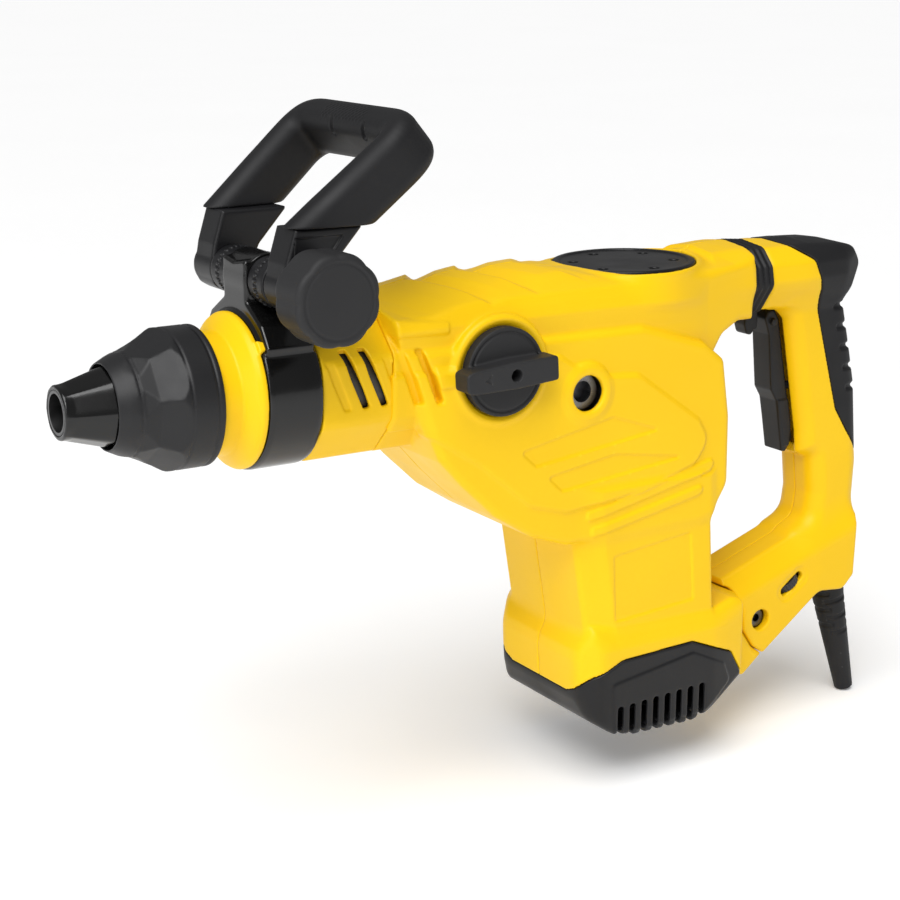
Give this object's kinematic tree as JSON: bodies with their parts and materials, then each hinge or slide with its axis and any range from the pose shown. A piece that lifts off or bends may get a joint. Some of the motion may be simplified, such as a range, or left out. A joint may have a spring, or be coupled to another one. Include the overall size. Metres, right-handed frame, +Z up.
{
  "type": "rotary hammer",
  "caption": "Corded rotary hammer with a vertical motor, sprung rear D-handle, tilting loop side handle, quick-release tool holder and side mode selector.",
  "frame": {"origin": "centre of the bit bore's mouth, on the tool axis", "axes": "+X along the tool axis towards the rear handle, +Z up through the housing, -Y towards the mode selector side"},
  "size_m": [0.5052, 0.139, 0.3768],
  "materials": {
    "housing_plastic": "fine-textured moulded yellow",
    "black_plastic": "satin moulded black",
    "soft_rubber": "matt overmoulded",
    "nose_grey": "satin dark grey",
    "chrome_steel": "polished",
    "machined_steel": "turned and ground",
    "gear_steel": "hardened, oiled",
    "spring_steel": "drawn wire",
    "cast_alloy": "die cast",
    "lamination": "stacked sheet",
    "copper": "varnished winding",
    "carbon": "graphite",
    "nylon": "glass-filled",
    "seal_rubber": "nitrile"
  },
  "bodies": {
    "housing": {"housing_left": "housing_plastic", "housing_right": "housing_plastic", "front_cover": "housing_plastic", "front_collar": "housing_plastic", "barrel_case": "cast_alloy", "front_bearing": "machined_steel", "cylinder_bracket": "cast_alloy", "crank_deck": "cast_alloy", "bearing_plate": "cast_alloy", "shaft_bearings": "machined_steel", "housing_screws": "machined_steel", "stator_core": "lamination", "field_coils": "copper", "brush_holders": "copper", "carbon_brushes": "carbon", "motor_end_cap": "black_plastic", "grease_cap": "black_plastic", "side_plug": "chrome_steel", "damper_band": "soft_rubber", "front_seal": "seal_rubber"},
    "spindle": {"nose_cap": "nose_grey", "tool_holder": "machined_steel", "locking_rollers": "gear_steel", "hammer_cylinder": "machined_steel", "crown_gear": "gear_steel", "sleeve_spring": "spring_steel"},
    "sleeve": {"locking_sleeve": "black_plastic"},
    "armature": {"armature_shaft": "machined_steel", "armature_core": "lamination", "armature_windings": "copper", "commutator": "copper", "fan": "nylon"},
    "bevel": {"bevel_shaft": "gear_steel", "intermediate_gear": "gear_steel"},
    "crank": {"crank_shaft": "gear_steel", "crank_gear": "gear_steel"},
    "piston": {"piston": "cast_alloy", "piston_pin": "machined_steel", "piston_ring": "seal_rubber"},
    "rod": {"connecting_rod": "cast_alloy"},
    "striker": {"striker": "machined_steel", "striker_ring": "seal_rubber"},
    "impact": {"impact_bolt": "machined_steel"},
    "shift": {"shift_ring": "gear_steel"},
    "selector": {"mode_knob": "black_plastic"},
    "handle": {"handle_left": "housing_plastic", "handle_right": "housing_plastic", "handle_grip": "soft_rubber", "switch_block": "nylon", "cord_guard": "soft_rubber", "pivot_screw": "machined_steel"},
    "trigger": {"trigger": "black_plastic"},
    "lever": {"lock_lever": "black_plastic"},
    "dial": {"speed_dial": "black_plastic"},
    "aux_clamp": {"aux_band": "black_plastic", "aux_bolt": "machined_steel"},
    "aux_loop": {"aux_arms": "black_plastic", "aux_grip": "soft_rubber", "aux_hubs": "nylon"},
    "aux_knob": {"aux_knob": "black_plastic"}
  },
  "joints": [
    {"name": "armature_spin", "type": "hinge", "parent": "housing", "child": "armature", "pos_m": [0.312, 0, -0.12], "axis": [0, 0, 1], "continuous": true},
    {"name": "spindle_spin", "type": "hinge", "parent": "housing", "child": "spindle", "pos_m": [0, 0, 0], "axis": [1, 0, 0], "continuous": true},
    {"name": "bevel_spin", "type": "hinge", "parent": "housing", "child": "bevel", "pos_m": [0.272, 0, -0.06], "axis": [0, 0, 1], "continuous": true},
    {"name": "crank_spin", "type": "hinge", "parent": "housing", "child": "crank", "pos_m": [0.336, 0, -0.05], "axis": [0, 0, 1], "continuous": true},
    {"name": "sleeve_slide", "type": "slide", "parent": "spindle", "child": "sleeve", "axis": [1, 0, 0], "range_m": [0, 0.009], "stiffness_N_per_m": 1500, "springref_m": -0.004, "deforming": ["sleeve_spring"]},
    {"name": "piston_slide", "type": "slide", "parent": "housing", "child": "piston", "axis": [1, 0, 0], "range_m": [-0.024, 0]},
    {"name": "rod_swing", "type": "hinge", "parent": "piston", "child": "rod", "pos_m": [0.288, 0, 0], "axis": [0, 0, 1], "range_deg": [-11.5, 11.5]},
    {"name": "striker_slide", "type": "slide", "parent": "housing", "child": "striker", "axis": [1, 0, 0], "range_m": [-0.007, 0.015]},
    {"name": "impact_slide", "type": "slide", "parent": "housing", "child": "impact", "axis": [1, 0, 0], "range_m": [-0.006, 0]},
    {"name": "mode_turn", "type": "hinge", "parent": "housing", "child": "selector", "pos_m": [0.214, -0.042, 0.0031], "axis": [0, 1, 0], "range_deg": [0, 180]},
    {"name": "shift_slide", "type": "slide", "parent": "housing", "child": "shift", "axis": [1, 0, 0], "range_m": [-0.008, 0]},
    {"name": "handle_rock", "type": "hinge", "parent": "housing", "child": "handle", "pos_m": [0.41, 0, -0.1715], "axis": [0, 1, 0], "range_deg": [-1, 0], "stiffness_Nm_per_rad": 900, "springref_deg": 0.11, "deforming": ["damper_band"]},
    {"name": "trigger_pull", "type": "hinge", "parent": "handle", "child": "trigger", "pos_m": [0.4215, 0, 0.0005], "axis": [0, 1, 0], "range_deg": [-5, 0], "stiffness_Nm_per_rad": 2, "springref_deg": 8.59},
    {"name": "lever_flip", "type": "hinge", "parent": "handle", "child": "lever", "pos_m": [0.4085, 0, 0.0106], "axis": [0, 1, 0], "range_deg": [-8, 0], "stiffness_Nm_per_rad": 0.2, "springref_deg": 5.73},
    {"name": "dial_turn", "type": "hinge", "parent": "handle", "child": "dial", "pos_m": [0.4335, -0.0136, -0.1539], "axis": [-0.5793, 0, 0.8151], "range_deg": [0, 270]},
    {"name": "clamp_swing", "type": "hinge", "parent": "housing", "child": "aux_clamp", "pos_m": [0.1034, 0, 0], "axis": [1, 0, 0], "continuous": true},
    {"name": "loop_tilt", "type": "hinge", "parent": "aux_clamp", "child": "aux_loop", "pos_m": [0.1034, 0, 0.054], "axis": [0, 1, 0], "range_deg": [-60, 20]},
    {"name": "knob_turn", "type": "hinge", "parent": "aux_clamp", "child": "aux_knob", "pos_m": [0.1034, -0.07, 0.054], "axis": [0, 1, 0], "continuous": true}
  ],
  "couplings": [
    {"joint": "crank_spin", "follows": "armature_spin", "ratio": -0.2},
    {"joint": "bevel_spin", "follows": "armature_spin", "ratio": -0.11111},
    {"joint": "spindle_spin", "follows": "armature_spin", "ratio": 0.037037},
    {"joint": "shift_slide", "follows": "mode_turn", "m_per_rad": -0.0025465}
  ]
}
